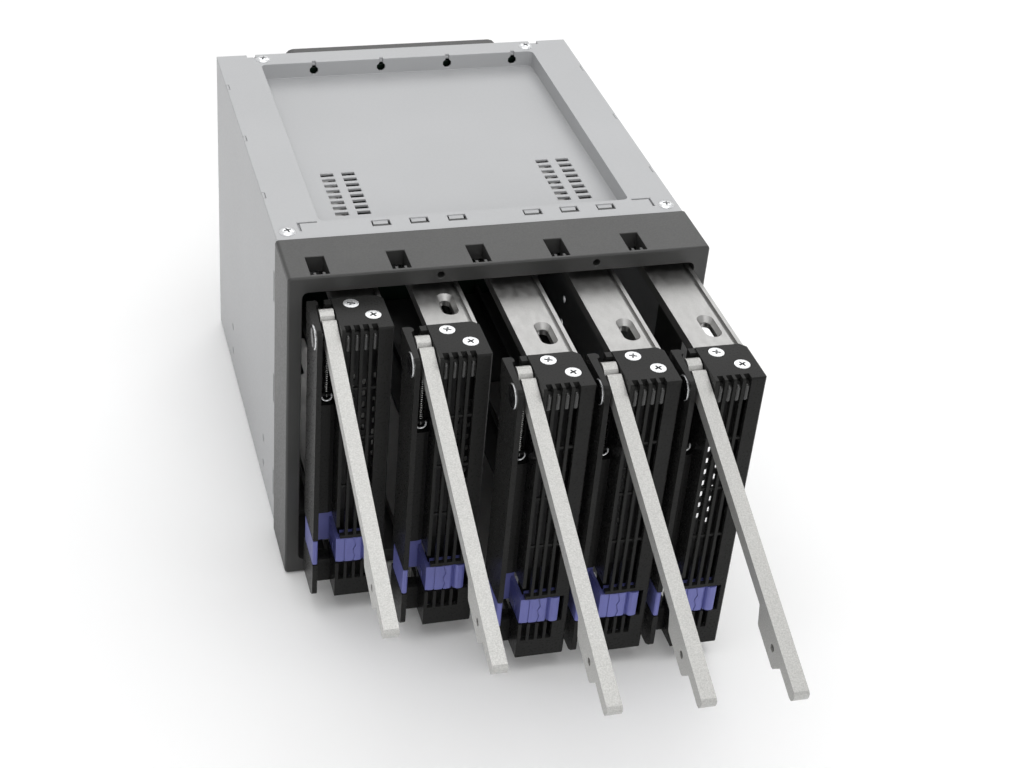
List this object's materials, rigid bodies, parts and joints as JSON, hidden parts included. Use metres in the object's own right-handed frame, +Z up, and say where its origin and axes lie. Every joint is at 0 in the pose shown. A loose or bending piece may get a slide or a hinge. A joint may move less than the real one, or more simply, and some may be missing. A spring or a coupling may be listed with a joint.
{
  "type": "hot swap drive cage",
  "caption": "Box-shaped drive cage with a dark bezel, upright trays that slide out on rails, grilled fronts, folding cast levers with sliding latches, and a fan at the back.",
  "frame": {"origin": "foot of the bezel's front face, in the middle", "axes": "+X to the right seen from the front, +Y to the rear along the trays' travel, +Z up"},
  "size_m": [0.148, 0.3662, 0.1274],
  "materials": {
    "dark_plastic": "satin moulded",
    "housing_paint": "satin light grey",
    "circuit_board": "solder mask",
    "socket_plastic": "moulded",
    "fan_blades": "moulded",
    "bright_steel": "bright zinc",
    "tray_plastic": "fine grained",
    "rail_metal": "drawn along its length",
    "cast_lever": "fine cast",
    "blue_plastic": "moulded",
    "screen_sheet": "perforated sheet"
  },
  "bodies": {
    "cage": {"front_bezel": "dark_plastic", "housing_shell": "housing_paint", "top_cover": "housing_paint", "rear_panel": "housing_paint", "upper_guide": "dark_plastic", "lower_guide": "dark_plastic", "backplane_board": "circuit_board", "drive_connectors": "socket_plastic", "rear_ports": "socket_plastic", "fan_frame": "dark_plastic", "fan_guard": "bright_steel", "fan_screws": "bright_steel", "housing_screws": "bright_steel"},
    "fan_rotor": {"fan_rotor": "fan_blades"},
    "tray_1": {"tray_1_front": "tray_plastic", "tray_1_upper_rail": "rail_metal", "tray_1_lower_rail": "rail_metal", "tray_1_pivot_pin": "bright_steel", "tray_1_lever_spring": "bright_steel", "tray_1_air_screen": "screen_sheet", "tray_1_screws": "bright_steel"},
    "lever_1": {"tray_1_lever": "cast_lever"},
    "latch_1": {"tray_1_latch": "blue_plastic"},
    "tray_2": {"tray_2_front": "tray_plastic", "tray_2_upper_rail": "rail_metal", "tray_2_lower_rail": "rail_metal", "tray_2_pivot_pin": "bright_steel", "tray_2_lever_spring": "bright_steel", "tray_2_air_screen": "screen_sheet", "tray_2_screws": "bright_steel"},
    "lever_2": {"tray_2_lever": "cast_lever"},
    "latch_2": {"tray_2_latch": "blue_plastic"},
    "tray_3": {"tray_3_front": "tray_plastic", "tray_3_upper_rail": "rail_metal", "tray_3_lower_rail": "rail_metal", "tray_3_pivot_pin": "bright_steel", "tray_3_lever_spring": "bright_steel", "tray_3_air_screen": "screen_sheet", "tray_3_screws": "bright_steel"},
    "lever_3": {"tray_3_lever": "cast_lever"},
    "latch_3": {"tray_3_latch": "blue_plastic"},
    "tray_4": {"tray_4_front": "tray_plastic", "tray_4_upper_rail": "rail_metal", "tray_4_lower_rail": "rail_metal", "tray_4_pivot_pin": "bright_steel", "tray_4_lever_spring": "bright_steel", "tray_4_air_screen": "screen_sheet", "tray_4_screws": "bright_steel"},
    "lever_4": {"tray_4_lever": "cast_lever"},
    "latch_4": {"tray_4_latch": "blue_plastic"},
    "tray_5": {"tray_5_front": "tray_plastic", "tray_5_upper_rail": "rail_metal", "tray_5_lower_rail": "rail_metal", "tray_5_pivot_pin": "bright_steel", "tray_5_lever_spring": "bright_steel", "tray_5_air_screen": "screen_sheet", "tray_5_screws": "bright_steel"},
    "lever_5": {"tray_5_lever": "cast_lever"},
    "latch_5": {"tray_5_latch": "blue_plastic"}
  },
  "joints": [
    {"name": "tray_1_slide", "type": "slide", "parent": "cage", "child": "tray_1", "axis": [0, -1, 0], "range_m": [-0.023, 0.142]},
    {"name": "lever_1_hinge", "type": "hinge", "parent": "tray_1", "child": "lever_1", "pos_m": [-0.0628, -0.0175, 0.115], "axis": [-1, 0, 0], "range_deg": [-67.3, 0], "stiffness_Nm_per_rad": 0.012, "springref_deg": 57.3, "deforming": ["tray_1_lever_spring"]},
    {"name": "latch_1_slide", "type": "slide", "parent": "tray_1", "child": "latch_1", "axis": [1, 0, 0], "range_m": [0, 0.0009], "stiffness_N_per_m": 300, "springref_m": -0.001},
    {"name": "tray_2_slide", "type": "slide", "parent": "cage", "child": "tray_2", "axis": [0, -1, 0], "range_m": [-0.0433, 0.1217]},
    {"name": "lever_2_hinge", "type": "hinge", "parent": "tray_2", "child": "lever_2", "pos_m": [-0.03505, -0.0378, 0.115], "axis": [-1, 0, 0], "range_deg": [-67.3, 0], "stiffness_Nm_per_rad": 0.012, "springref_deg": 57.3, "deforming": ["tray_2_lever_spring"]},
    {"name": "latch_2_slide", "type": "slide", "parent": "tray_2", "child": "latch_2", "axis": [1, 0, 0], "range_m": [0, 0.0009], "stiffness_N_per_m": 300, "springref_m": -0.001},
    {"name": "tray_3_slide", "type": "slide", "parent": "cage", "child": "tray_3", "axis": [0, -1, 0], "range_m": [-0.0654, 0.0996]},
    {"name": "lever_3_hinge", "type": "hinge", "parent": "tray_3", "child": "lever_3", "pos_m": [-0.0073, -0.0599, 0.115], "axis": [-1, 0, 0], "range_deg": [-67.3, 0], "stiffness_Nm_per_rad": 0.012, "springref_deg": 57.3, "deforming": ["tray_3_lever_spring"]},
    {"name": "latch_3_slide", "type": "slide", "parent": "tray_3", "child": "latch_3", "axis": [1, 0, 0], "range_m": [0, 0.0009], "stiffness_N_per_m": 300, "springref_m": -0.001},
    {"name": "tray_4_slide", "type": "slide", "parent": "cage", "child": "tray_4", "axis": [0, -1, 0], "range_m": [-0.0674, 0.0976]},
    {"name": "lever_4_hinge", "type": "hinge", "parent": "tray_4", "child": "lever_4", "pos_m": [0.02045, -0.0619, 0.115], "axis": [-1, 0, 0], "range_deg": [-67.3, 0], "stiffness_Nm_per_rad": 0.012, "springref_deg": 57.3, "deforming": ["tray_4_lever_spring"]},
    {"name": "latch_4_slide", "type": "slide", "parent": "tray_4", "child": "latch_4", "axis": [1, 0, 0], "range_m": [0, 0.0009], "stiffness_N_per_m": 300, "springref_m": -0.001},
    {"name": "tray_5_slide", "type": "slide", "parent": "cage", "child": "tray_5", "axis": [0, -1, 0], "range_m": [-0.0695, 0.0955]},
    {"name": "lever_5_hinge", "type": "hinge", "parent": "tray_5", "child": "lever_5", "pos_m": [0.0482, -0.064, 0.115], "axis": [-1, 0, 0], "range_deg": [-67.3, 0], "stiffness_Nm_per_rad": 0.012, "springref_deg": 57.3, "deforming": ["tray_5_lever_spring"]},
    {"name": "latch_5_slide", "type": "slide", "parent": "tray_5", "child": "latch_5", "axis": [1, 0, 0], "range_m": [0, 0.0009], "stiffness_N_per_m": 300, "springref_m": -0.001},
    {"name": "fan_spin", "type": "hinge", "parent": "cage", "child": "fan_rotor", "pos_m": [0.005, 0.183, 0.0705], "axis": [0, 1, 0], "continuous": true}
  ]
}
